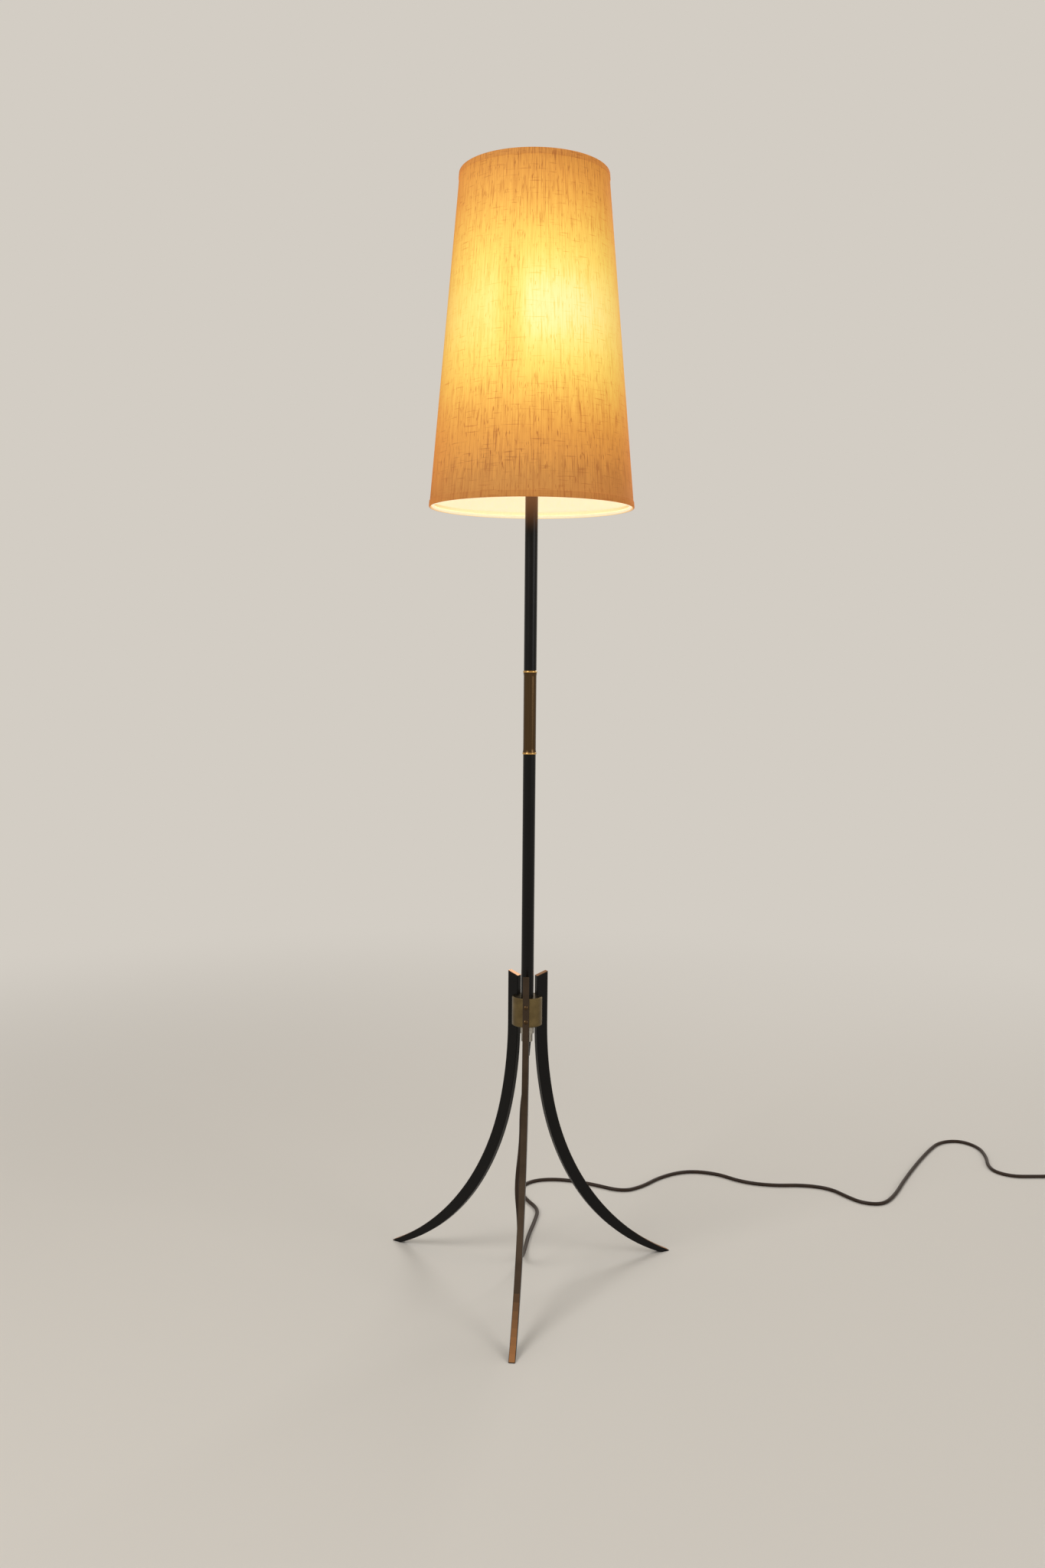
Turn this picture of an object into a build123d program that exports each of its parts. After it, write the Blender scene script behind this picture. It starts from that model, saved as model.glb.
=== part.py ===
from build123d import *
from math import cos, pi, radians, sin, sqrt, tan
import os

os.makedirs("parts", exist_ok=True)

# Tripod floor lamp: three flat curved legs in a slotted brass hub, a slim black pole with a
# brass grip, a three-bulb cluster and a tall linen shade that turns on a spider.
# Millimetres, Z up, origin on the floor under the pole. The front leg points to -Y.

# Fits
slip = 0.05          # gap on each side of a fixed piece that slides into another
turning_gap = 0.08   # radial gap of a piece that turns
end_gap = 0.3        # gap at the ends of a piece that turns
ring_gap = 0.1       # gap between a wire ring and the shade's wall
socket_gap = 0.15    # radial gap round a bulb's cap in its holder

# Hub and pole
hub_d = 44.0
hub_height = 42.1
hub_bottom_z = 384.5
hub_floor = 6.0
hub_bevel = 1.2
pole_d = 18.0
pole_bore = 15.0
pole_top_z = 1262.0
plug_length = 20.0   # how far the end plugs reach into the pole
thread_d = 10.0      # lamp thread of the nipple, the spigot and the shade rod
wire_bore = 7.0      # hole for the flex through threaded pieces
flex_d = 6.0

# Legs
leg_names = ("leg_front", "leg_right", "leg_left")
front_azimuth = 270
leg_thickness = 9.0
leg_width = 17.0
leg_reach = 31.0     # axis to the outer edge at the hub
leg_top_rise = 34.4  # of a leg's top above the hub
leg_top_drop = 6.0   # fall of the slanted top end towards the pole
leg_first_radius = 560.0
leg_first_turn = 12.5
leg_taper_after = 20.0
foot_reach = 247.0
foot_flat = 14.0
toe_height = 1.4
leg_bevel = 0.6
screw_d = 4.0
screw_head_d = 6.5
screw_head_height = 1.6
screw_spacing = 21.2
screw_slot = 1.0
screw_slot_depth = 0.8
screw_wall = 0.6     # metal left between a screw's tip and the pole's bore

# Fittings under the hub
nut_d = 20.0
nut_step_d = 16.0
nut_height = 24.5
nut_step_height = 12.0
bush_neck = 7.0
bush_length = 22.0
bush_top_d = 12.0
bush_end_d = 8.4

# Grip
grip_bottom_z = 777.0
grip_flange_d = 20.4
grip_flange = 3.4
grip_cove = 5.0
grip_cove_d = 19.4
grip_cove_sag = 0.45  # how far the cove's middle lies inside its outer end
grip_sleeve_d = 18.2
grip_sleeve_length = 102.5
joiner_bore = 11.0
joiner_reach = 35.0  # how far the joiner enters each pole

# Lamp cluster
bulbs = 3
first_bulb_azimuth = 285
cluster_d = 38.0
cluster_wall = 4.0
cluster_floor = 5.0
cluster_height = 30.0
cluster_lid = 6.0
lid_spigot = 3.0
collar_d = 22.0
collar_height = 4.0
spigot_height = 8.0
arm_height = 16.0    # arm centre above the bottom of the cluster body
arm_d = 10.0
arm_bore = 7.0
arm_bend = 16.0
bulb_reach = 62.0
cup_d = 40.0
cup_foot_d = 18.0
cup_wall = 1.5
cup_height = 20.0
cup_floor = 2.0
arm_end = 6.0        # how far an arm stands up inside its cup
holder_height = 50.0
holder_wall = 2.5
socket_floor = 23.0  # height of the contact plate in the holder
socket_floor_thickness = 4.0

# Bulbs
bulb_d = 60.0
bulb_length = 108.0
bulb_wall = 1.2
bulb_neck_d = 26.0
bulb_neck_height = 6.0
bulb_cap_d = 26.6
bulb_cap_height = 24.0
bulb_tip_d = 10.0
bulb_tip_height = 3.0
bulb_shoulder = 35.0  # degrees below the widest point where the neck curve starts

# Turn switch
switch_azimuth = 345
switch_bush_d = 9.0
switch_block_d = 14.0
switch_block_length = 6.5
switch_bush_out = 5.0  # how far the bush stands out of the cluster body
switch_nut_d = 13.0
switch_nut_thickness = 3.0
spindle_d = 5.0
spindle_length = 15.0
knob_d = 13.0
knob_length = 11.0
knob_bevel = 1.0

# Shade
shade_bottom_z = 1123.4
shade_height = 454.0
shade_bottom_d = 288.6
shade_top_d = 207.5
linen = 0.9
liner = 0.5
trim = 0.8
trim_height = 9.0
wire_d = 4.0
spider_recess = 25.0
spider_hub_d = 32.0
spider_hub = 3.0
spider_arms = 3
spider_level = 18.0  # level stretch of a spider arm beyond its hub
spider_bend = 20.0
seat_nut_d = 20.0
seat_nut_height = 6.0
finial_base_d = 18.0
finial_base = 2.5
finial_neck_d = 13.0
finial_neck = 9.0
finial_ball_d = 16.0
finial_ball_height = 13.0
finial_bore = 7.0

# Cord: the lead's route from the bush to the coil, chosen to follow the lead on the floor.
cord_d = 6.0
corner_share = 0.45  # of the shorter run beside a corner, for the corner's arc
floor_line = cord_d / 2
lead_route = [
    (0, 0, 306), (-5, 0, 262), (-13, 1, 206), (-16, 2, 142), (-13, 4, 90), (-12, 17, 44),
    (-10, 48, 11), (-7, 92), (-5, 150), (3, 210), (7, 258), (-15, 298), (-26, 346), (-8, 386),
    (36, 395), (90, 378), (138, 353), (176, 374), (212, 420), (258, 454), (312, 448), (352, 412),
    (404, 400), (460, 407), (506, 392), (534, 358), (560, 332), (594, 334), (618, 374), (644, 446),
    (678, 526), (718, 606), (748, 654), (788, 664), (816, 630), (816, 580), (804, 532), (807, 494),
    (836, 472), (872, 476), (902, 490),
]
coil_centre = (978.0, 458.0)
coil_rise = 1.5      # the tie lies under the coil
coil_inner_radius = 26.0
coil_step = 6.6      # between turns and between layers
coil_turns = 2.125   # in each of the two layers
arcs_per_turn = 8    # tangent arcs that draw one turn of the coil
coil_lead_in = 34.0  # straight run into the coil's outer turn
coil_end = 8.0       # straight run out of the coil to the plug
tie_azimuth = 215
tie_width = 8.0
tie_thickness = 1.0
tie_gap = 0.3
plug_width = 34.0
plug_face_length = 14.0
plug_taper_length = 22.0
plug_neck_d = 11.0
plug_relief_length = 22.0
plug_relief_d = 8.0
pin_d = 4.8
pin_length = 19.0
pin_spacing = 19.0
pin_seat = 9.0
pin_dome = 1.6

# Directions and heights that follow from the sizes above
leg_azimuths = {name: front_azimuth + 360 * i / len(leg_names) for i, name in enumerate(leg_names)}
cluster_azimuths = [first_bulb_azimuth + 360 * i / bulbs for i in range(bulbs)]
hub_top_z = hub_bottom_z + hub_height
leg_top_z = hub_top_z + leg_top_rise
pole_foot_z = hub_bottom_z + hub_floor
slot_floor = leg_reach - leg_width
screw_mid_z = hub_bottom_z + hub_height / 2
screw_heights = (screw_mid_z - screw_spacing / 2, screw_mid_z + screw_spacing / 2)
nut_bottom_z = hub_bottom_z - nut_height
cord_exit_z = nut_bottom_z - bush_length
grip_ring = grip_flange + grip_cove
sleeve_bottom_z = grip_bottom_z + grip_ring
sleeve_top_z = sleeve_bottom_z + grip_sleeve_length
grip_top_z = sleeve_top_z + grip_ring
cluster_z = pole_top_z + collar_height
cluster_lid_z = cluster_z + cluster_height
cavity_d = cluster_d - 2 * cluster_wall
arm_z = cluster_z + arm_height
cup_z = arm_z + arm_bend
holder_z = cup_z + cup_floor
holder_d = cup_d - 2 * cup_wall - 2 * slip
socket_z = holder_z + socket_floor
bulb_cap_z = socket_z + bulb_tip_height
bulb_neck_z = bulb_cap_z + bulb_cap_height
bulb_centre_z = socket_z + bulb_length - bulb_d / 2
shade_top_z = shade_bottom_z + shade_height
spider_z = shade_top_z - spider_recess
seat_nut_top_z = spider_z - spider_hub / 2 - end_gap
finial_z = spider_z + spider_hub / 2 + end_gap
rod_bottom_z = cluster_lid_z - lid_spigot
rod_top_z = finial_z + finial_bore

BASE = (Align.CENTER, Align.CENTER, Align.MIN)


def upright(diameter, low, high):
    """Solid cylinder on the lamp's axis between two heights."""
    return Pos(0, 0, low) * Cylinder(diameter / 2, high - low, align=BASE)


def pipe(diameter, bore, low, high):
    """Tube on the lamp's axis between two heights."""
    return upright(diameter, low, high) - upright(bore, low, high)


def turned(*corners):
    """Solid of revolution about the lamp's axis, from (radius, height) corners."""
    return revolve(Plane.XZ * make_face(Polyline(*corners, close=True)), Axis.Z)


def outward(diameter, start, end, height):
    """Solid cylinder that points away from the axis along +X, between two reaches."""
    return Pos(start, 0, height) * Rot(0, 90, 0) * Cylinder(diameter / 2, end - start, align=BASE)


# Legs and hub


def leg_outline():
    """One leg in its upright plane: x is the reach from the axis and y the height."""
    first = radians(leg_first_turn)
    taper = radians(leg_first_turn + leg_taper_after)
    down = Vector(0, -1)
    lean = Vector(sin(first), -cos(first))
    to_centre = Vector(cos(first), sin(first))
    knee = Vector(leg_reach, hub_bottom_z)
    meet = knee + Vector(1 - cos(first), -sin(first)) * leg_first_radius
    toe = Vector(foot_reach, toe_height)
    chord = toe - meet
    second_radius = chord.dot(chord) / (2 * chord.dot(to_centre))
    centre = meet + to_centre * second_radius
    inner_knee = knee - Vector(leg_width, 0)
    inner_meet = meet - to_centre * leg_width
    inner_taper = centre - Vector(cos(taper), sin(taper)) * (second_radius + leg_width)
    heel = Vector(foot_reach - foot_flat, 0)
    top_outer = Vector(leg_reach, leg_top_z)
    top_inner = Vector(leg_reach - leg_width, leg_top_z - leg_top_drop)
    return make_face([
        Line(top_outer, knee),
        TangentArc(knee, meet, tangent=down),
        TangentArc(meet, toe, tangent=lean),
        Line(toe, (foot_reach, 0)),
        Line((foot_reach, 0), heel),
        TangentArc(inner_taper, heel, tangent=(sin(taper), -cos(taper))),
        TangentArc(inner_meet, inner_taper, tangent=lean),
        TangentArc(inner_knee, inner_meet, tangent=down),
        Line(inner_knee, top_inner),
        Line(top_inner, top_outer),
    ])


def leg():
    """Flat bar leg along +X with bevelled edges and two screw holes."""
    bar = extrude(Plane.XZ * leg_outline(), amount=leg_thickness / 2, both=True)
    bar = chamfer(bar.faces().filter_by(Axis.Y).edges(), leg_bevel)
    for height in screw_heights:
        bar -= outward(screw_d + 2 * slip, 0, 2 * leg_reach, height)
    return bar


def leg_hub():
    """Round block with a slot for each leg, the pole's bore and screw holes."""
    rim = hub_d / 2
    low, high = hub_bottom_z, hub_top_z
    block = turned(
        (0, low), (rim - hub_bevel, low), (rim, low + hub_bevel),
        (rim, high - hub_bevel), (rim - hub_bevel, high), (0, high),
    )
    block -= upright(pole_d + 2 * slip, pole_foot_z, high)
    block -= upright(thread_d + 2 * slip, low, pole_foot_z)
    slot = Pos(slot_floor, 0, low) * Box(
        hub_d, leg_thickness + 2 * slip, hub_height, align=(Align.MIN, Align.CENTER, Align.MIN))
    holes = [outward(screw_d + 2 * slip, 0, hub_d, height) for height in screw_heights]
    for azimuth in leg_azimuths.values():
        block -= Rot(0, 0, azimuth) * slot
        block -= [Rot(0, 0, azimuth) * hole for hole in holes]
    return block


def leg_screws():
    """Two domed, slotted screws for each leg, through its outer edge into the hub."""
    tip = pole_d / 2 + slip + screw_wall
    rim = Vector(leg_reach, screw_head_d / 2)
    crown = Vector(leg_reach + screw_head_height, 0)
    seat = Vector(leg_reach, 0)
    dome = TangentArc(crown, rim, tangent=(0, 1))
    head = revolve(make_face([dome, Line(rim, seat), Line(seat, crown)]), Axis.X)
    slot = Pos(crown.X, 0, 0) * Box(2 * screw_slot_depth, screw_head_d, screw_slot)
    screw = outward(screw_d, tip, leg_reach, 0) + (head - slot)
    return [
        Rot(0, 0, azimuth) * Pos(0, 0, height) * screw
        for azimuth in leg_azimuths.values()
        for height in screw_heights
    ]


# Fittings under the hub and the pole


def base_nut():
    """Stepped round nut that pulls the pole down into the hub."""
    step_z = nut_bottom_z + nut_step_height
    bore = thread_d / 2 + slip
    return turned(
        (bore, nut_bottom_z), (nut_step_d / 2, nut_bottom_z), (nut_step_d / 2, step_z),
        (nut_d / 2, step_z), (nut_d / 2, hub_bottom_z), (bore, hub_bottom_z),
    )


def base_nipple():
    """Threaded tube from the nut through the hub's floor into the pole's foot plug."""
    return pipe(thread_d, wire_bore, nut_bottom_z + bush_neck, pole_foot_z + plug_length)


def cord_bush():
    """Tapered rubber strain relief with a neck held in the nut."""
    bore = flex_d / 2 + slip
    neck = thread_d / 2
    neck_z = nut_bottom_z + bush_neck
    return turned(
        (bore, cord_exit_z), (bush_end_d / 2, cord_exit_z), (bush_top_d / 2, nut_bottom_z),
        (neck, nut_bottom_z), (neck, neck_z), (bore, neck_z),
    )


def pole_foot_plug():
    """Threaded plug fixed in the foot of the lower pole."""
    return pipe(pole_bore - 2 * slip, thread_d + 2 * slip, pole_foot_z, pole_foot_z + plug_length)


def grip_ring_at(flange_z, side):
    """Ring with a rounded flange at flange_z and a cove towards the sleeve, up or down by side."""
    bore = pole_bore / 2
    round_r = grip_flange / 2
    rim = grip_flange_d / 2 - round_r
    flange_end = flange_z + side * grip_flange
    cove_end = flange_z + side * grip_ring
    middle = flange_z + side * round_r
    cove_mid = (
        grip_cove_d / 2 - grip_cove_sag,
        flange_end + side * grip_cove / 2,
    )
    return revolve(Plane.XZ * make_face([
        Line((bore, flange_z), (rim, flange_z)),
        ThreePointArc((rim, flange_z), (rim + round_r, middle), (rim, flange_end)),
        Line((rim, flange_end), (grip_cove_d / 2, flange_end)),
        ThreePointArc((grip_cove_d / 2, flange_end), cove_mid, (grip_sleeve_d / 2, cove_end)),
        Line((grip_sleeve_d / 2, cove_end), (bore, cove_end)),
        Line((bore, cove_end), (bore, flange_z)),
    ]), Axis.Z)


def pole_top_plug():
    """Plug in the top of the pole, with a collar and a threaded spigot for the cluster."""
    bore = wire_bore / 2
    inside = pole_bore / 2 - slip
    low = pole_top_z - plug_length
    spigot = thread_d / 2
    return turned(
        (bore, low), (inside, low), (inside, pole_top_z), (collar_d / 2, pole_top_z),
        (collar_d / 2, cluster_z), (spigot, cluster_z),
        (spigot, cluster_z + spigot_height), (bore, cluster_z + spigot_height),
    )


# Lamp cluster


def cluster_body():
    """Round wiring cup on the pole, open at the top, with holes for the arms and the switch."""
    cup = upright(cluster_d, cluster_z, cluster_lid_z)
    cup -= upright(cavity_d, cluster_z + cluster_floor, cluster_lid_z)
    cup -= upright(thread_d + 2 * slip, cluster_z, cluster_lid_z)
    arm_hole = outward(arm_d + 2 * slip, 0, cluster_d, arm_z)
    for azimuth in cluster_azimuths:
        cup -= Rot(0, 0, azimuth) * arm_hole
    return cup - Rot(0, 0, switch_azimuth) * outward(switch_bush_d + 2 * slip, 0, cluster_d, arm_z)


def cluster_lid_piece():
    """Lid of the wiring cup, with a spigot and a hole for the shade rod."""
    bore = thread_d / 2 + slip
    inside = cavity_d / 2 - slip
    top = cluster_lid_z + cluster_lid
    return turned(
        (bore, rod_bottom_z), (inside, rod_bottom_z), (inside, cluster_lid_z),
        (cluster_d / 2, cluster_lid_z), (cluster_d / 2, top), (bore, top),
    )


def cluster_arm():
    """Bent tube from the cluster body out to a holder cup, along +X."""
    start = Vector(cavity_d / 2, 0, arm_z)
    corner = Vector(bulb_reach, 0, arm_z)
    end = Vector(bulb_reach, 0, cup_z + arm_end)
    path = FilletPolyline(start, corner, end, radius=arm_bend)
    section = Circle(arm_d / 2) - Circle(arm_bore / 2)
    return sweep(Plane(start, z_dir=(1, 0, 0)) * section, path=path)


def holder_cup():
    """Spun cup under a lampholder."""
    bore = arm_d / 2 + slip
    foot = cup_foot_d / 2
    rim = cup_d / 2
    inside = rim - cup_wall
    shoulder = cup_z + cup_height / 2
    return turned(
        (bore, cup_z), (foot, cup_z), (rim, shoulder), (rim, cup_z + cup_height),
        (inside, cup_z + cup_height), (inside, shoulder + cup_floor),
        (foot, cup_z + cup_floor), (bore, cup_z + cup_floor),
    )


def holder_shell():
    """Lampholder: a skirt over the wiring, a contact plate and the socket above it."""
    outside = holder_d / 2
    inside = outside - holder_wall
    socket = bulb_cap_d / 2 + socket_gap
    low = cup_z + cup_height / 2 + cup_floor
    top = holder_z + holder_height
    plate = socket_z - socket_floor_thickness
    return turned(
        (inside, low), (outside, low), (outside, top), (socket, top),
        (socket, socket_z), (0, socket_z), (0, plate), (inside, plate),
    )


def bulb_cap():
    """Metal screw cap of a bulb with its contact tip."""
    tip = bulb_tip_d / 2
    cap = bulb_cap_d / 2
    return turned(
        (0, socket_z), (tip, socket_z), (tip, bulb_cap_z), (cap, bulb_cap_z),
        (cap, bulb_neck_z), (0, bulb_neck_z),
    )


def bulb_profile(inset):
    """Half outline of a bulb's glass, drawn in from the outer surface by inset."""
    ball = bulb_d / 2 - inset
    neck = bulb_neck_d / 2 - inset
    below = radians(bulb_shoulder)
    top = Vector(0, bulb_centre_z + ball)
    side = Vector(ball, bulb_centre_z)
    shoulder = Vector(ball * cos(below), bulb_centre_z - ball * sin(below))
    throat = Vector(neck, bulb_neck_z + bulb_neck_height)
    foot = Vector(neck, bulb_neck_z)
    axis_foot = Vector(0, bulb_neck_z)
    return make_face([
        TangentArc(side, top, tangent=(0, 1)),
        TangentArc(side, shoulder, tangent=(0, -1)),
        TangentArc(shoulder, throat, tangent=(-sin(below), -cos(below))),
        Line(throat, foot),
        Line(foot, axis_foot),
        Line(axis_foot, top),
    ])


def bulb_glass():
    """Thin glass envelope, open at the neck where it stands on its cap."""
    return revolve(Plane.XZ * (bulb_profile(0) - bulb_profile(bulb_wall)), Axis.Z)


# Turn switch on the cluster body, along +X


def switch_face():
    """Reach of the flat seat of the switch block inside the round cavity."""
    return sqrt((cavity_d / 2) ** 2 - (switch_block_d / 2) ** 2) - slip


def switch_body():
    """Switch block in the cavity, with a bush through the wall and a bore for the spindle."""
    seat = switch_face()
    body = outward(switch_block_d, seat - switch_block_length, seat, arm_z)
    body += outward(switch_bush_d, seat, cluster_d / 2 + switch_bush_out, arm_z)
    return body - outward(spindle_d + 2 * turning_gap, 0, cluster_d, arm_z)


def switch_nut():
    """Round nut that clamps the switch bush to the outside of the cluster body."""
    seat = cluster_d / 2
    nut = outward(switch_nut_d, seat, seat + switch_nut_thickness, arm_z)
    return nut - outward(switch_bush_d + 2 * slip, 0, cluster_d, arm_z)


def switch_knob():
    """Knob with its spindle, turned by hand from under the shade."""
    seat = cluster_d / 2 + switch_bush_out + end_gap
    knob = outward(knob_d, seat, seat + knob_length, arm_z)
    knob = chamfer(knob.edges().group_by(Axis.X)[-1], knob_bevel)
    return knob + outward(spindle_d, seat - spindle_length, seat, arm_z)


# Shade


def shade_radius(height):
    """Outer radius of the shade's trim at a height."""
    part = (height - shade_bottom_z) / shade_height
    return (shade_bottom_d + (shade_top_d - shade_bottom_d) * part) / 2


def shade_band(low, high, outer, inner):
    """Ring-shaped wall between two heights and two depths inside the trim's outer surface."""
    bottom, top = shade_radius(low), shade_radius(high)
    return turned((bottom - outer, low), (top - outer, high), (top - inner, high), (bottom - inner, low))


wall_depth = trim + linen + liner     # from the trim's outer surface to the liner's inner surface
trim_depth = wall_depth + trim
cloth_low = shade_bottom_z + trim
cloth_high = shade_top_z - trim
bottom_wire_z = cloth_low + wire_d / 2
top_wire_z = cloth_high - wire_d / 2


def trim_band(edge, fold):
    """Rolled hem over one rim of the shade, between its free edge and its fold height."""
    low, high = min(edge, fold), max(edge, fold)
    inside = (low + trim, high) if edge == low else (low, high - trim)
    return shade_band(low, high, 0, trim_depth) - shade_band(*inside, trim, wall_depth)


def wire_radius(height):
    """Centre radius of a wire ring that lies just inside the hem at a height."""
    lean = (shade_bottom_d - shade_top_d) / 2 / shade_height
    return shade_radius(height) - trim_depth - ring_gap - wire_d / 2 * sqrt(1 + lean ** 2)


def wire_ring(height):
    """Round wire ring inside the hem."""
    return Pos(0, 0, height) * Torus(wire_radius(height), wire_d / 2)


def shade_spider():
    """Top ring, bent arms and a washer on the shade rod, welded into one frame."""
    low, high = spider_z - spider_hub / 2, spider_z + spider_hub / 2
    frame = pipe(spider_hub_d, thread_d + 2 * turning_gap, low, high)
    start = Vector(spider_hub_d / 2 - wire_d / 2, 0, spider_z)
    bend = start + Vector(spider_level, 0, 0)
    end = Vector(wire_radius(top_wire_z), 0, top_wire_z)
    path = FilletPolyline(start, bend, end, radius=spider_bend)
    arm = sweep(Plane(start, z_dir=(1, 0, 0)) * Circle(wire_d / 2), path=path)
    for index in range(spider_arms):
        frame += Rot(0, 0, index * 360 / spider_arms) * arm
    between_arms = Rot(0, 0, 180 / spider_arms)  # keeps the ring's own seam off the welds
    return frame + between_arms * wire_ring(top_wire_z)


def shade_seat_nut():
    """Round nut on the rod that carries the spider's washer."""
    return pipe(seat_nut_d, thread_d + 2 * slip, seat_nut_top_z - seat_nut_height, seat_nut_top_z)


def finial():
    """Turned knob that keeps the shade on its rod."""
    knob = upright(finial_base_d, finial_z, finial_z + finial_base)
    knob += upright(finial_neck_d, finial_z, finial_z + finial_neck)
    knob += Pos(0, 0, finial_z + finial_ball_height) * Sphere(finial_ball_d / 2)
    return knob - upright(thread_d + 2 * slip, finial_z, rod_top_z)


# Cord


def on_route(point):
    """A point of the lead's route as a vector; one without a height lies on the floor."""
    return Vector(*point) if len(point) == 3 else Vector(*point, floor_line)


coil_outer_radius = coil_inner_radius + coil_step * coil_turns
coil_line = coil_rise + cord_d / 2
coil_sweep = 2 * pi * coil_turns


def coil_point(angle):
    """Centre of the coiled cord; the angle is 0 where the spiral turns back and climbs."""
    reach = coil_inner_radius + coil_step * abs(angle) / (2 * pi)
    climb = min(max(angle / pi + 0.5, 0), 1)
    height = coil_line + coil_step * climb * climb * (3 - 2 * climb)
    turn = pi / 2 - coil_sweep - angle
    return Vector(coil_centre[0] + reach * cos(turn), coil_centre[1] + reach * sin(turn), height)


def coil_heading(angle):
    """Unit direction of the coiled cord, from two points close by."""
    near = radians(0.01)
    return (coil_point(angle + near) - coil_point(angle - near)).normalized()


def biarc(start, leaving, end, arriving):
    """Two tangent arcs that leave start and reach end along given unit directions."""
    chord = end - start
    both = leaving + arriving
    spread = 2 * (1 - leaving.dot(arriving))
    along = chord.dot(both)
    reach = (sqrt(along ** 2 + spread * chord.dot(chord)) - along) / spread
    handle_a = start + leaving * reach
    handle_b = end - arriving * reach
    middle = (handle_a + handle_b) / 2
    return [
        TangentArc(start, middle, tangent=leaving),
        TangentArc(middle, end, tangent=handle_b - handle_a),
    ]


def coil_ends():
    """Where the straight run into the coil starts and where the run to the plug ends."""
    first = coil_point(-coil_sweep) - coil_heading(-coil_sweep) * cord_d
    last = coil_point(coil_sweep) + coil_heading(coil_sweep) * coil_end
    return first, last


def cord_coil():
    """Two-layer coil: in along the floor, up a layer where it turns back, and out again."""
    spans = round(coil_turns * arcs_per_turn)  # two layers, and two arcs to a span
    angles = [-coil_sweep + 2 * coil_sweep * i / spans for i in range(spans + 1)]
    first, last = coil_ends()
    edges = [Line(first, coil_point(angles[0]))]
    for a, b in zip(angles, angles[1:]):
        edges += biarc(coil_point(a), coil_heading(a), coil_point(b), coil_heading(b))
    edges.append(Line(coil_point(angles[-1]), last))
    path = Wire(edges)
    tube = sweep(Plane(first, z_dir=coil_heading(angles[0])) * Circle(cord_d / 2), path=path)
    report_tube("cord_coil", tube, path)
    return tube


def cord_lead():
    """The cord from the bush down to the floor and along it to the coil."""
    first, _ = coil_ends()
    points = [Vector(0, 0, cord_exit_z)]
    points += [on_route(point) for point in lead_route]
    points.append(first - coil_heading(-coil_sweep) * coil_lead_in)
    points.append(first)
    radii = []
    for before, at, after in zip(points, points[1:], points[2:]):
        arriving, leaving = at - before, after - at
        turn = radians(arriving.get_angle(leaving))
        radii.append(corner_share * min(arriving.length, leaving.length) / tan(turn / 2))
    print("cord_lead tightest bend", round(min(radii)))
    path = FilletPolyline(*points, radius=radii)
    tube = sweep(Plane(points[0], z_dir=points[1] - points[0]) * Circle(cord_d / 2), path=path)
    report_tube("cord_lead", tube, path)
    return tube


def report_tube(name, tube, path):
    """Print a tube's length and its volume as a share of section times length."""
    share = tube.volume / (pi * cord_d ** 2 / 4 * path.length)
    print(name, "length", round(path.length, 1), "volume share", round(share, 4))


def cord_tie():
    """Band round one side of the coil."""
    reach = coil_outer_radius - coil_inner_radius + cord_d + 2 * tie_gap
    height = coil_step + cord_d + 2 * tie_gap
    middle = (coil_outer_radius + coil_inner_radius) / 2
    level = coil_line + coil_step / 2
    outer = RectangleRounded(reach + 2 * tie_thickness, height + 2 * tie_thickness, 2 * tie_thickness)
    inner = RectangleRounded(reach, height, tie_thickness)
    band = extrude(Plane.XZ * (outer - inner), tie_width / 2, both=True)
    return Pos(*coil_centre, level) * Rot(0, 0, tie_azimuth) * Pos(middle, 0, 0) * band


def plug_place():
    """Frame at the cord's end: z runs out along the plug to its pins, x lies level."""
    _, end = coil_ends()
    heading = coil_heading(coil_sweep)
    level = Vector(heading.X, heading.Y, 0)
    return Plane(end, x_dir=level.cross(Vector(0, 0, 1)), z_dir=level)


pin_face = plug_relief_length + plug_taper_length + plug_face_length


def plug_pins():
    """Two round pins with domed ends, seated in the plug."""
    pin = Pos(0, 0, pin_face - pin_seat) * Cylinder(pin_d / 2, pin_seat + pin_length, align=BASE)
    pin = fillet(pin.edges().group_by(Axis.Z)[-1], pin_dome)
    return [plug_place() * Pos(side * pin_spacing / 2, 0, 0) * pin for side in (-1, 1)]


def plug_body():
    """Moulded plug: tapered relief, drawn-in shoulders and an oval face, lying on the floor."""
    height = 2 * (coil_line + coil_step)
    neck_z = plug_relief_length
    body_z = neck_z + plug_taper_length
    oval = SlotOverall(plug_width, height)
    relief = Cone(plug_relief_d / 2, plug_neck_d / 2, plug_relief_length, align=BASE)
    shoulders = loft([Pos(0, 0, neck_z) * Circle(plug_neck_d / 2), Pos(0, 0, body_z) * oval])
    face = extrude(Pos(0, 0, body_z) * oval, plug_face_length)
    body = relief + shoulders + face
    for side in (-1, 1):
        body -= Pos(side * pin_spacing / 2, 0, pin_face - pin_seat) * Cylinder(
            pin_d / 2 + slip, pin_seat, align=BASE)
    return plug_place() * body


# Every piece under its own name

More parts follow.
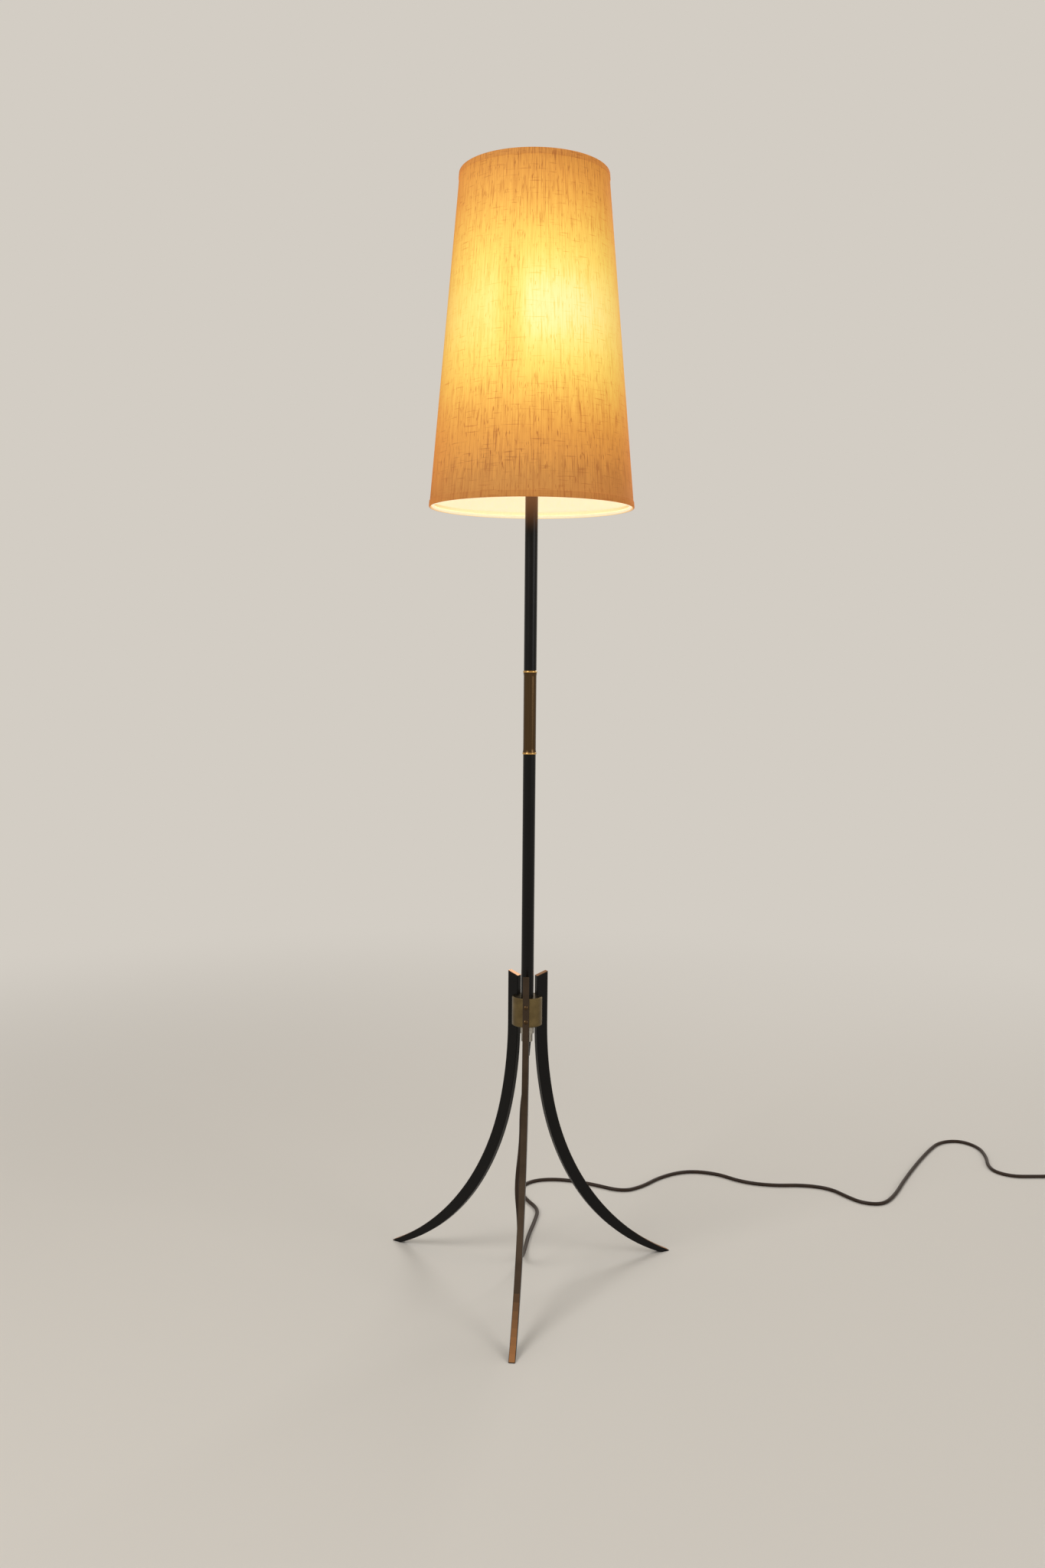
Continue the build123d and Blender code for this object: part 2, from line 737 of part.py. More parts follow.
parts = {name: Rot(0, 0, azimuth) * leg() for name, azimuth in leg_azimuths.items()}
parts |= {
    "leg_hub": leg_hub(),
    "leg_screws": leg_screws(),
    "base_nut": base_nut(),
    "base_nipple": base_nipple(),
    "cord_bush": cord_bush(),
    "pole_foot_plug": pole_foot_plug(),
    "lower_pole": pipe(pole_d, pole_bore, pole_foot_z, grip_bottom_z),
    "grip_ring_lower": grip_ring_at(grip_bottom_z, 1),
    "grip_sleeve": pipe(grip_sleeve_d, pole_bore, sleeve_bottom_z, sleeve_top_z),
    "grip_ring_upper": grip_ring_at(grip_top_z, -1),
    "pole_joiner": pipe(
        pole_bore - 2 * slip, joiner_bore, grip_bottom_z - joiner_reach, grip_top_z + joiner_reach),
    "upper_pole": pipe(pole_d, pole_bore, grip_top_z, pole_top_z),
    "pole_top_plug": pole_top_plug(),
    "inner_flex": upright(flex_d, cord_exit_z, cluster_z + spigot_height + flex_d),
    "cluster_body": cluster_body(),
    "cluster_lid": cluster_lid_piece(),
    "shade_rod": upright(thread_d, rod_bottom_z, rod_top_z),
    "shade_seat_nut": shade_seat_nut(),
    "finial": finial(),
}
for number, azimuth in enumerate(cluster_azimuths, start=1):
    around = Rot(0, 0, azimuth)
    on_arm = around * Pos(bulb_reach, 0, 0)
    parts[f"cluster_arm_{number}"] = around * cluster_arm()
    parts[f"holder_cup_{number}"] = on_arm * holder_cup()
    parts[f"holder_shell_{number}"] = on_arm * holder_shell()
    parts[f"bulb_cap_{number}"] = on_arm * bulb_cap()
    parts[f"bulb_glass_{number}"] = on_arm * bulb_glass()
at_switch = Rot(0, 0, switch_azimuth)
parts |= {
    "switch_body": at_switch * switch_body(),
    "switch_nut": at_switch * switch_nut(),
    "switch_knob": at_switch * switch_knob(),
    "shade_linen": shade_band(cloth_low, cloth_high, trim, trim + linen),
    "shade_liner": shade_band(cloth_low, cloth_high, trim + linen, wall_depth),
    "shade_bottom_trim": trim_band(shade_bottom_z, shade_bottom_z + trim_height),
    "shade_top_trim": trim_band(shade_top_z, shade_top_z - trim_height),
    "shade_bottom_ring": wire_ring(bottom_wire_z),
    "shade_spider": shade_spider(),
    "cord_lead": cord_lead(),
    "cord_coil": cord_coil(),
    "cord_tie": cord_tie(),
    "plug_body": plug_body(),
    "plug_pins": plug_pins(),
}

for name, piece in parts.items():
    whole = Compound(children=piece) if isinstance(piece, list) else piece
    export_step(whole, f"parts/{name}.step")
print(len(parts), "pieces")
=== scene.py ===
# %% [markdown]
# # A tripod floor lamp in brass, black lacquer and linen
# The lamp stands on three flat curved legs that meet in a slotted brass hub. A slim black pole with a
# brass grip carries a cluster of three bulbs under a tall linen shade. The CAD model already holds every
# rigid shape, size and joint, so this lesson loads it as a fixed frame and adds what CAD is poor at:
# finishes, the cloth of the shade and the loose cord on the floor.

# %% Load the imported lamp
from math import cos, hypot, pi, radians, sin

import bmesh
import bpy
from mathutils import Matrix, Vector


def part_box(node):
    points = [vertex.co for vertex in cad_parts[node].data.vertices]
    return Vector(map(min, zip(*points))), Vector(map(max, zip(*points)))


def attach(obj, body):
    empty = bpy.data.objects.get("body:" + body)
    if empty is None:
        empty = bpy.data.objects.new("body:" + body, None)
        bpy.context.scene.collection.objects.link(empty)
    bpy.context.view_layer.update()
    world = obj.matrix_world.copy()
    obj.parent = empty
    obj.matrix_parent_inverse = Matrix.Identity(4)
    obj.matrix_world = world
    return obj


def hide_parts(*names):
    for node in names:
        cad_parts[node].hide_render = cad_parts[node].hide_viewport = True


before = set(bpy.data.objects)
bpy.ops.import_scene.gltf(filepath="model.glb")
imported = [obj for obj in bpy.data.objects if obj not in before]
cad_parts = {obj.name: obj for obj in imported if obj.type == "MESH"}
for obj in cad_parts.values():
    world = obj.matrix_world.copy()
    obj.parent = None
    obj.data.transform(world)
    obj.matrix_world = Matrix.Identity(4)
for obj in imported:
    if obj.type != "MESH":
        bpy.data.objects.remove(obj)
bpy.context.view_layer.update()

MM = 0.001               # Blender works in metres, and this lesson thinks in millimetres

# %% [markdown]
# ## Helpers for finishes
# A colour is easiest to pick as an sRGB hex value, as on a paint card, but a shader works with linear
# light, so one function turns one into the other. Nodes could be written out line by line, which fills a
# page for each finish. Here one function adds every node: it sets plain values and links other nodes by
# the socket's name. A value that is the same all over a surface is set on the shader itself, because an
# exported model then keeps it.

# %% Helpers for finishes
RGBA = {"data_type": "RGBA"}     # lets a Mix node blend colours instead of numbers
noise_low, noise_high = 0.3, 0.72     # nearly all of a noise pattern lies between these


def linear(colour):
    """An sRGB hex colour as the linear RGBA that shader sockets take."""
    levels = [int(colour[i:i + 2], 16) / 255 for i in (1, 3, 5)]
    return [v / 12.92 if v <= 0.04045 else ((v + 0.055) / 1.055) ** 2.4 for v in levels] + [1.0]


def per_mm(size):
    """Pattern scale, in repeats per metre, for a detail of that many millimetres."""
    return 1000 / size


def add(owner, kind, settings=None, **inputs):
    """Adds a node to a material or world, or takes the one given; inputs are values or nodes to link."""
    tree = owner.node_tree
    node = kind if isinstance(kind, bpy.types.Node) else tree.nodes.new("ShaderNode" + kind)
    for name, value in (settings or {}).items():
        setattr(node, name, value)
    for name, value in inputs.items():
        socket = next(s for s in node.inputs
                      if s.enabled and name in (s.identifier, s.name.replace(" ", "_")))
        if isinstance(value, bpy.types.Node):
            value = next(s for s in value.outputs if s.enabled)
        if isinstance(value, bpy.types.NodeSocket):
            tree.links.new(value, socket)
        else:
            socket.default_value = value
    return node


def start_finish(name, **uniform):
    """A new material, its shader and its object coordinates; uniform values go on the shader itself."""
    material = bpy.data.materials.new(name)
    material.use_nodes = True
    shader = add(material, material.node_tree.nodes["Principled BSDF"], **uniform)
    place = add(material, "TexCoord").outputs["Object"]
    return material, shader, place


def dress(material, *names):
    """Gives CAD pieces a finish in place of their plain one."""
    for name in names:
        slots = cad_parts[name].data.materials
        slots.clear()
        slots.append(material)
    print(material.name, "on", ", ".join(names))


print("mid grey #808080 is", round(linear("#808080")[0], 3), "of full light")

# %% [markdown]
# ## Camera
# The photograph was taken from about two metres away, a little above the middle of the lamp, looking
# five degrees down and a few degrees round to its right. A camera can be matched by eye, but here its
# place came from fitting known points of the lamp to their pixels, so it is written as numbers. The
# focal length is in photo pixels, and Blender's lens follows from it and the sensor's long side.

# %% Camera
photo_height = 2048
focal_pixels = 1813.9
camera_place = (0.1285, -1.9742, 0.9106)
swing, look_down, lean = 4.0, 5.085, 0.485     # degrees
camera_data = bpy.data.cameras.new("photo_camera")
camera_data.sensor_width = 36
camera_data.lens = focal_pixels / photo_height * camera_data.sensor_width
camera = bpy.data.objects.new("photo_camera", camera_data)
bpy.context.collection.objects.link(camera)
turn = Matrix.Rotation(radians(swing), 4, "Z")
tilt = Matrix.Rotation(radians(90 - look_down), 4, "X")
roll = Matrix.Rotation(radians(lean), 4, "Z")
camera.matrix_world = Matrix.Translation(camera_place) @ turn @ tilt @ roll
bpy.context.scene.camera = camera
print("lens", round(camera_data.lens, 2), "mm")

# %% [markdown]
# ## Floor
# A studio sweep would do, but the lamp is also seen from behind and from above, so there is only a wide
# round floor. Far from the lamp it fades into the background's colour, which hides the horizon. It fades
# only for the rays that look at it, so the light that it throws back on the lamp stays plain.

# %% Floor
bpy.context.scene.view_settings.view_transform = "Standard"
floor_radius = 9.0
fade_start, fade_end = 0.7, 2.8     # metres from the lamp
pale = linear("#D3CDC4")            # the background

floor_mesh = bpy.data.meshes.new("floor")
shape = bmesh.new()
bmesh.ops.create_circle(shape, cap_ends=True, segments=96, radius=floor_radius)
shape.to_mesh(floor_mesh)
shape.free()
floor = bpy.data.objects.new("floor", floor_mesh)
bpy.context.collection.objects.link(floor)
# Pale matt floor paint: no pattern, so that nothing on it draws the eye.
floor_paint, shader, place = start_finish("pale_floor_paint", Base_Color=linear("#DCD6CD"), Roughness=0.9)
path = add(floor_paint, "LightPath")
seen = add(floor_paint, "Math", {"operation": "MAXIMUM"}, Value=path.outputs["Is Camera Ray"],
           Value_001=path.outputs["Is Glossy Ray"])
reach = add(floor_paint, "VectorMath", {"operation": "LENGTH"}, Vector=place).outputs["Value"]
far = add(floor_paint, "MapRange", {"interpolation_type": "SMOOTHSTEP"}, Value=reach, From_Min=fade_start,
          From_Max=fade_end)
far = add(floor_paint, "Math", {"operation": "MULTIPLY"}, Value=far, Value_001=seen)
haze = add(floor_paint, "Emission", Color=pale)
merged = add(floor_paint, "MixShader", Fac=far, Shader=shader, Shader_001=haze)
add(floor_paint, floor_paint.node_tree.nodes["Material Output"], Surface=merged)
floor_mesh.materials.append(floor_paint)
print("floor", 2 * floor_radius, "m across")

# %% [markdown]
# ## Background
# The camera, the metal and the glass see a plain pale background. One colour could also light the lamp,
# but then a pale background would over-light the pieces. So the world gives two answers: the background
# to the rays that look at it, and a weaker light to all the others.

# %% Background
fill_strength = 0.42
world = bpy.data.worlds.new("studio")
bpy.context.scene.world = world
world.use_nodes = True
path = add(world, "LightPath")
seen = add(world, "Math", {"operation": "MAXIMUM"}, Value=path.outputs["Is Camera Ray"],
           Value_001=path.outputs["Is Glossy Ray"])
seen = add(world, "Math", {"operation": "MAXIMUM"}, Value=seen, Value_001=path.outputs["Is Transmission Ray"])
fill = add(world, "Background", Color=linear("#F4F1EC"), Strength=fill_strength)
backdrop = add(world, "Background", Color=pale, Strength=1.0)
shown = add(world, "MixShader", Fac=seen, Shader=fill, Shader_001=backdrop)
add(world, world.node_tree.nodes["World Output"], Surface=shown)
print("background of strength 1, fill light of", fill_strength)

# %% [markdown]
# ## Soft boxes
# One lamp would show every shape, but with a hard shadow. Three large soft boxes keep the light plain and
# give the metal long highlights: the main one from the front left, a weak one from the right and one from
# behind, which parts the dark legs and pole from the background.

# %% Soft boxes
aim = Vector((0, 0, 0.85))     # the middle of the lamp
for name, spot, size, watts in (
    ("key_box", (-1.9, -2.1, 2.5), 1.5, 50),
    ("fill_box", (2.4, -1.5, 1.5), 1.2, 16),
    ("back_box", (0.9, 2.4, 2.3), 1.4, 26),
):
    light = bpy.data.lights.new(name, "AREA")
    light.size = size
    light.energy = watts
    box = bpy.data.objects.new(name, light)
    bpy.context.collection.objects.link(box)
    box.location = spot
    box.rotation_euler = (aim - box.location).to_track_quat("-Z", "Y").to_euler()
    box.visible_camera = False
    print(name, watts, "W")

# %% [markdown]
# ## Route of the lead
# The lead is three metres of six-millimetre PVC flex. It leaves the rubber bush under the hub, hangs
# down behind the front leg, meets the floor and wanders off to the right in loose waves. The rest is
# wound into a small coil with a tie, just out of view. The waves are listed points in millimetres, with
# two numbers where the lead lies on the floor. The coil could be set by hand, but its turns lie a cord
# apart, so it is worked out: a spiral inwards, a step up, and out again.

# %% Route of the lead
cord_d = 6.0
lead_route = [
    (0, 0, 338), (0, 0, 306), (-7, 0, 262), (-7, 1, 206), (-14.5, 2, 140), (-9.5, 4, 90), (-10, 17, 44),
    (-9, 48, 11), (-7, 92), (-5, 150), (2, 210), (5, 258), (-18, 297), (-35, 345), (-13, 386), (36, 396),
    (90, 378), (144, 348), (178, 373), (211, 422), (258, 456), (312, 448), (352, 412), (404, 399),
    (460, 407), (504, 394), (527, 360), (549, 334), (583, 331), (610, 374), (640, 446), (677, 526),
    (718, 606), (748, 652), (788, 663), (815, 630), (816, 580), (807, 533), (812, 502), (838, 483),
    (873, 486), (902, 489),
]
coil_centre = (978, 458)
coil_inner_radius = 26
coil_pitch = 6.6
coil_turns = 2.125       # in each of the two layers
tie_under_coil = 1.5     # the tie's band lifts the coil off the floor
coil_line = tie_under_coil + cord_d / 2
run_in, run_out = 40, 10     # straight before the coil, and after it into the plug
points_per_turn = 24
coil_sweep = 2 * pi * coil_turns


def coil_point(angle):
    """Centre of the coiled cord in mm; the spiral turns back and climbs a layer at angle 0."""
    reach = coil_inner_radius + coil_pitch * abs(angle) / (2 * pi)
    climb = min(max(angle / pi + 0.5, 0), 1)
    around = pi / 2 - coil_sweep - angle
    height = coil_line + coil_pitch * climb * climb * (3 - 2 * climb)
    return coil_centre[0] + reach * cos(around), coil_centre[1] + reach * sin(around), height


steps = round(2 * coil_turns * points_per_turn)
coil_points = [coil_point(-coil_sweep + 2 * coil_sweep * i / steps) for i in range(steps + 1)]
start, end = Vector(coil_points[0]), Vector(coil_points[-1])
heading_in = (Vector(coil_points[1]) - start).normalized()
heading_out = (end - Vector(coil_points[-2])).normalized()
route = [point if len(point) == 3 else (*point, cord_d / 2) for point in lead_route]
route += [start - heading_in * run_in, start - heading_in * cord_d]
route += [*coil_points, end + heading_out * run_out]
print("lead of", len(route), "points,", len(coil_points), "of them in the coil")

# %% [markdown]
# ## Curve of the lead
# A tube could be swept in CAD, and it is there for its size, but its arcs look like bent wire. A NURBS
# curve of order 3 on the same points relaxes as flex does. Its order and its ends are set after its
# points, because a curve that has one point yet falls back to straight runs.

# %% Curve of the lead
lead_curve = bpy.data.curves.new("mains_lead", "CURVE")
lead_curve.dimensions = "3D"
lead_curve.bevel_depth = 1.0     # times the radius that each point carries
lead_curve.bevel_resolution = 5
lead_curve.resolution_u = 8
lead_curve.use_fill_caps = True
line = lead_curve.splines.new("NURBS")
line.points.add(len(route) - 1)
for point, (x, y, z) in zip(line.points, route):
    point.co = (x * MM, y * MM, z * MM, 1)
    point.radius = cord_d / 2 * MM
line.order_u = 3
line.use_endpoint_u = True
lead = bpy.data.objects.new("mains_lead", lead_curve)
bpy.context.collection.objects.link(lead)
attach(lead, "stand")
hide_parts("cord_lead", "cord_coil")
print("lead of", cord_d, "mm rides on the stand")

# %% [markdown]
# ## PVC of flex and plug
# The flex is extruded PVC in a brown that is almost black, with the dull gloss of soft plastic and a
# faint waviness from the die. The plug is the same compound injection-moulded, so it is harder, a little
# shinier and finely pitted by the mould. A flat dark colour would pass for both from far away. Close by,
# a slow change of colour and gloss and a shallow bump tell them apart.

# %% PVC of flex and plug
# Extruded flexible PVC: IOR about 1.53, with a wave of about 18 mm along it from the die. Years of
# handling have dulled it, so it mirrors half as much as new PVC.
flex_pvc, shader, place = start_finish("extruded_brown_pvc", IOR=1.53, Specular_IOR_Level=0.25)
wave = add(flex_pvc, "TexNoise", Vector=place, Scale=per_mm(18), Detail=2.0)
tint = add(flex_pvc, "Mix", RGBA, Factor=wave, A=linear("#22160D"), B=linear("#352416"))
dull = add(flex_pvc, "MapRange", Value=wave, To_Min=0.38, To_Max=0.56)
skin = add(flex_pvc, "TexNoise", Vector=place, Scale=per_mm(1.5), Detail=2.0)
relief = add(flex_pvc, "Bump", Height=skin, Strength=0.15, Distance=0.1 * MM)
add(flex_pvc, shader, Base_Color=tint, Roughness=dull, Normal=relief)
lead_curve.materials.append(flex_pvc)
print(flex_pvc.name, "on", lead.name)

# Injection-moulded PVC: roughness about 0.4, a fine spark texture of about 0.4 mm from the mould.
moulded_pvc, shader, place = start_finish("moulded_brown_pvc", IOR=1.53)
cloud = add(moulded_pvc, "TexNoise", Vector=place, Scale=per_mm(14), Detail=3.0)
tint = add(moulded_pvc, "Mix", RGBA, Factor=cloud, A=linear("#281D15"), B=linear("#38291E"))
spark = add(moulded_pvc, "TexNoise", Vector=place, Scale=per_mm(0.4), Detail=2.0)
dull = add(moulded_pvc, "MapRange", Value=cloud, To_Min=0.34, To_Max=0.46)
relief = add(moulded_pvc, "Bump", Height=spark, Strength=0.25, Distance=0.05 * MM)
add(moulded_pvc, shader, Base_Color=tint, Roughness=dull, Normal=relief)
dress(moulded_pvc, "plug_body")

# %% [markdown]
# ## Tie of the coil
# The coil is held by a strip of black nylon with a coarse, dusty weave. Its threads could be drawn as two
# crossing waves, but on a strip this small a pattern of even cells gives the same grain.

# %% Tie of the coil
# Woven nylon: IOR 1.53, roughness 0.75, cells of about 0.8 mm.
nylon, shader, place = start_finish("woven_black_nylon", IOR=1.53, Roughness=0.75)
weave = add(nylon, "TexVoronoi", Vector=place, Scale=per_mm(0.8))
tint = add(nylon, "Mix", RGBA, Factor=weave, A=linear("#121110"), B=linear("#22201E"))
relief = add(nylon, "Bump", Height=weave, Strength=0.5, Distance=0.2 * MM)
add(nylon, shader, Base_Color=tint, Normal=relief)
dress(nylon, "cord_tie")

# %% [markdown]
# ## Legs: where the lacquer is
# Each leg is a flat brass bar, sawn to its curve. The two broad sides are lacquered black and the narrow
# edges are left as brass that has darkened with age. The sides could be separate faces with materials of
# their own, but the CAD mesh stays as it is, so one finish finds the sides by direction: a side's normal
# is square to the plane through the pole and the leg. The lacquer also wraps round the inner edge, which
# faces the pole and the floor. The small bevel along the outer edge shows bare brass.

# %% Legs: where the lacquer is
side_start, side_full = 0.80, 0.86     # how squarely a face looks sideways, as a cosine
upper_lean = 1.2                       # a face that looks away from 1 out and this much up is under the leg
under_blur = 0.05
# Satin lacquer on brass: IOR 1.5, but it mirrors only a third as much as usual, because the pale studio is
# far brighter than a living room.
leg_finish, shader, place = start_finish("black_lacquer_on_aged_brass", Specular_IOR_Level=0.18)
flat = add(leg_finish, "VectorMath", {"operation": "MULTIPLY"}, Vector=place, Vector_001=(1, 1, 0))
outward = add(leg_finish, "VectorMath", {"operation": "NORMALIZE"}, Vector=flat)
sideways = add(leg_finish, "VectorMath", {"operation": "CROSS_PRODUCT"}, Vector=outward,
               Vector_001=(0, 0, 1))
facing = add(leg_finish, "NewGeometry").outputs["True Normal"]
square_on = add(leg_finish, "VectorMath", {"operation": "DOT_PRODUCT"}, Vector=sideways, Vector_001=facing)
square_on = add(leg_finish, "Math", {"operation": "ABSOLUTE"}, Value=square_on.outputs["Value"])
side = add(leg_finish, "MapRange", Value=square_on, From_Min=side_start, From_Max=side_full)
up_and_out = add(leg_finish, "VectorMath", {"operation": "ADD"}, Vector=outward,
                 Vector_001=(0, 0, upper_lean))
under = add(leg_finish, "VectorMath", {"operation": "DOT_PRODUCT"}, Vector=up_and_out, Vector_001=facing)
under = add(leg_finish, "MapRange", Value=under.outputs["Value"], From_Min=under_blur, From_Max=-under_blur)
lacquered = add(leg_finish, "Math", {"operation": "MAXIMUM"}, Value=side, Value_001=under)
bare = add(leg_finish, "Math", {"operation": "SUBTRACT"}, Value=1.0, Value_001=lacquered)
print("lacquer on the sides and the inner edge of each leg")

# %% [markdown]
# ## Legs: lacquer and aged brass
# The lacquer was brushed on, so its gloss is softly uneven. The bare edges were draw-filed and have aged
# to brown. What looks up, the sawn top ends and the toes, is painted copper: a painted warm light that
# stands in for the shade's glow falling on them. It could be painted leg by leg, but every leg faces the
# shade the same way, so it follows from how far a face looks up.

# %% Legs: lacquer and aged brass
# Aged brass: metallic, roughness about 0.4, browner in places of about 45 mm, scratches of about 1.2 mm.
# Brushed lacquer: roughness about 0.35, uneven in strokes of about 25 mm.
glow_up_start, glow_up_full = 0.74, 0.885     # how far up a face looks, as a cosine
stain = add(leg_finish, "TexNoise", Vector=place, Scale=per_mm(45), Detail=5.0, Roughness=0.55)
stain = add(leg_finish, "MapRange", Value=stain, From_Min=noise_low, From_Max=noise_high)
brass = add(leg_finish, "Mix", RGBA, Factor=stain, A=linear("#53463A"), B=linear("#3B3128"))
# Painted light: a face that looks up turns copper, as if lit by the shade's warm glow from above.
upwards = add(leg_finish, "SeparateXYZ", Vector=facing).outputs["Z"]
painted_glow_up = add(leg_finish, "MapRange", Value=upwards, From_Min=glow_up_start, From_Max=glow_up_full)
brass = add(leg_finish, "Mix", RGBA, Factor=painted_glow_up, A=brass, B=linear("#A87850"))
brush = add(leg_finish, "TexNoise", Vector=place, Scale=per_mm(25), Detail=3.0)
lacquer = add(leg_finish, "Mix", RGBA, Factor=brush, A=linear("#060505"), B=linear("#0C0B0A"))
colour = add(leg_finish, "Mix", RGBA, Factor=lacquered, A=brass, B=lacquer)
lacquer_gloss = add(leg_finish, "MapRange", Value=brush, To_Min=0.28, To_Max=0.44)
brass_gloss = add(leg_finish, "MapRange", Value=stain, To_Min=0.36, To_Max=0.5)
gloss = add(leg_finish, "Mix", Factor=lacquered, A=brass_gloss, B=lacquer_gloss)
scratch = add(leg_finish, "TexNoise", Vector=place, Scale=per_mm(1.2), Detail=3.0)
relief = add(leg_finish, "Bump", Height=scratch, Strength=0.12, Distance=0.08 * MM)
add(leg_finish, shader, Base_Color=colour, Metallic=bare, Roughness=gloss, Normal=relief)
dress(leg_finish, "leg_front", "leg_right", "leg_left")

# %% [markdown]
# ## Hub: turned brass
# The hub is turned from brass bar, slotted for the legs and left bright, then it has dulled to a brown
# gold. Turning leaves fine rings round it, which stretch highlights up and down. The rings could be cut
# into the mesh, but they are only half a millimetre apart, so a noise that changes with height alone
# gives them as a bump, which a close view shows.

# %% Hub: turned brass
# Turned brass, dulled: metallic, roughness 0.24 to 0.4, rings of about 0.5 mm and stains of about 22 mm.
hub_brass, shader, place = start_finish("turned_dull_brass", Metallic=1.0)
stain = add(hub_brass, "TexNoise", Vector=place, Scale=per_mm(22), Detail=4.0, Roughness=0.55)
stain = add(hub_brass, "MapRange", Value=stain, From_Min=noise_low, From_Max=noise_high)
colour = add(hub_brass, "Mix", RGBA, Factor=stain, A=linear("#7E6D4A"), B=linear("#5E5036"))
level = add(hub_brass, "VectorMath", {"operation": "MULTIPLY"}, Vector=place,
            Vector_001=(0, 0, per_mm(0.5)))
rings = add(hub_brass, "TexNoise", Vector=level, Scale=1.0, Detail=1.0)
gloss = add(hub_brass, "MapRange", Value=stain, To_Min=0.24, To_Max=0.4)
relief = add(hub_brass, "Bump", Height=rings, Strength=0.25, Distance=0.06 * MM)
add(hub_brass, shader, Base_Color=colour, Roughness=gloss, Normal=relief)
dress(hub_brass, "leg_hub")

# %% [markdown]
# ## Finial: polished brass
# The finial that clamps the shade is the one piece polished all over. A plain gold mirror would look
# new, so faint finger marks change its colour and gloss, and the lathe's rings stay as a very low bump.

# %% Finial: polished brass
# Polished brass: metallic, roughness 0.1 to 0.24, finger marks of about 7 mm, rings of about 0.4 mm.
polished, shader, place = start_finish("polished_brass", Metallic=1.0)
marks = add(polished, "TexNoise", Vector=place, Scale=per_mm(7), Detail=3.0)
colour = add(polished, "Mix", RGBA, Factor=marks, A=linear("#D9B06C"), B=linear("#BC9150"))
gloss = add(polished, "MapRange", Value=marks, To_Min=0.1, To_Max=0.24)
level = add(polished, "VectorMath", {"operation": "MULTIPLY"}, Vector=place,
            Vector_001=(0, 0, per_mm(0.4)))
rings = add(polished, "TexNoise", Vector=level, Scale=1.0, Detail=1.0)
relief = add(polished, "Bump", Height=rings, Strength=0.15, Distance=0.04 * MM)
add(polished, shader, Base_Color=colour, Roughness=gloss, Normal=relief)
dress(polished, "finial")

# %% [markdown]
# ## Grip and screws: burnished brass
# The sleeve on the pole, where a hand takes the lamp, is burnished brown, and so are the screws in the
# hub. A thin flange at each end of the grip is kept polished and catches the light as a bright line. The
# flange could have a finish of its own, but it is turned from one ring with the cove beside it, so the
# finish tells the two apart by height.

# %% Grip and screws: burnished brass
# Burnished brass tube: metallic, roughness 0.16 to 0.3, rubbed lengthwise into streaks 1.5 mm wide and
# 60 mm long. The flange is brighter, with roughness 0.14.
flange = 3.4 * MM
burnished, shader, place = start_finish("burnished_brown_brass", Metallic=1.0)
lengthwise = add(burnished, "VectorMath", {"operation": "MULTIPLY"}, Vector=place,
                 Vector_001=(per_mm(1.5), per_mm(1.5), per_mm(60)))
streaks = add(burnished, "TexNoise", Vector=lengthwise, Scale=1.0, Detail=3.0)
brown = add(burnished, "Mix", RGBA, Factor=streaks, A=linear("#624D35"), B=linear("#403120"))
grip_low, grip_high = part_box("grip_ring_lower")[0].z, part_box("grip_ring_upper")[1].z
height = add(burnished, "SeparateXYZ", Vector=place).outputs["Z"]
from_middle = add(burnished, "Math", {"operation": "SUBTRACT"}, Value=height,
                  Value_001=(grip_low + grip_high) / 2)
from_middle = add(burnished, "Math", {"operation": "ABSOLUTE"}, Value=from_middle)
on_flange = add(burnished, "Math", {"operation": "COMPARE"}, Value=from_middle,
                Value_001=(grip_high - grip_low - flange) / 2, Value_002=flange / 2)
colour = add(burnished, "Mix", RGBA, Factor=on_flange, A=brown, B=linear("#C19A5E"))
dull = add(burnished, "MapRange", Value=streaks, To_Min=0.16, To_Max=0.3)
gloss = add(burnished, "Mix", Factor=on_flange, A=dull, B=0.14)
relief = add(burnished, "Bump", Height=streaks, Strength=0.1, Distance=0.05 * MM)
add(burnished, shader, Base_Color=colour, Roughness=gloss, Normal=relief)
dress(burnished, "grip_ring_lower", "grip_sleeve", "grip_ring_upper", "leg_screws")

# %% [markdown]
# ## Pole: stove-enamelled steel tube
# The pole is steel tube with a stoved satin black. Such a film flows out almost flat and keeps a faint
# orange peel, and hands leave it a little shinier in some places than in others. The bulbs light its top
# end, inside the shade. Light from the globes alone would need many samples to show on so dark a film, so
# the enamel there gets a warm glow of its own that grows with height.

# %% Pole: stove-enamelled steel tube
# Stoved enamel: IOR 1.5, roughness about 0.3, orange peel of about 2 mm, drawn gently. It is held to a
# third of its usual mirror, as the lacquer of the legs is.
glow_start, glow_full = 1085, 1150     # mm above the floor
pole_enamel, shader, place = start_finish("stoved_satin_black", Specular_IOR_Level=0.18)
rub = add(pole_enamel, "TexNoise", Vector=place, Scale=per_mm(40), Detail=3.0)
colour = add(pole_enamel, "Mix", RGBA, Factor=rub, A=linear("#060505"), B=linear("#0C0B0A"))
gloss = add(pole_enamel, "MapRange", Value=rub, To_Min=0.24, To_Max=0.38)
peel = add(pole_enamel, "TexNoise", Vector=place, Scale=per_mm(2), Detail=1.0)
relief = add(pole_enamel, "Bump", Height=peel, Strength=0.12, Distance=0.05 * MM)
height = add(pole_enamel, "SeparateXYZ", Vector=place).outputs["Z"]
lit = add(pole_enamel, "MapRange", {"interpolation_type": "SMOOTHSTEP"}, Value=height,
          From_Min=glow_start * MM, From_Max=glow_full * MM)
add(pole_enamel, shader, Base_Color=colour, Roughness=gloss, Normal=relief,
    Emission_Color=linear("#75492A"), Emission_Strength=lit)
dress(pole_enamel, "lower_pole", "upper_pole", "pole_top_plug", "pole_joiner", "pole_foot_plug")

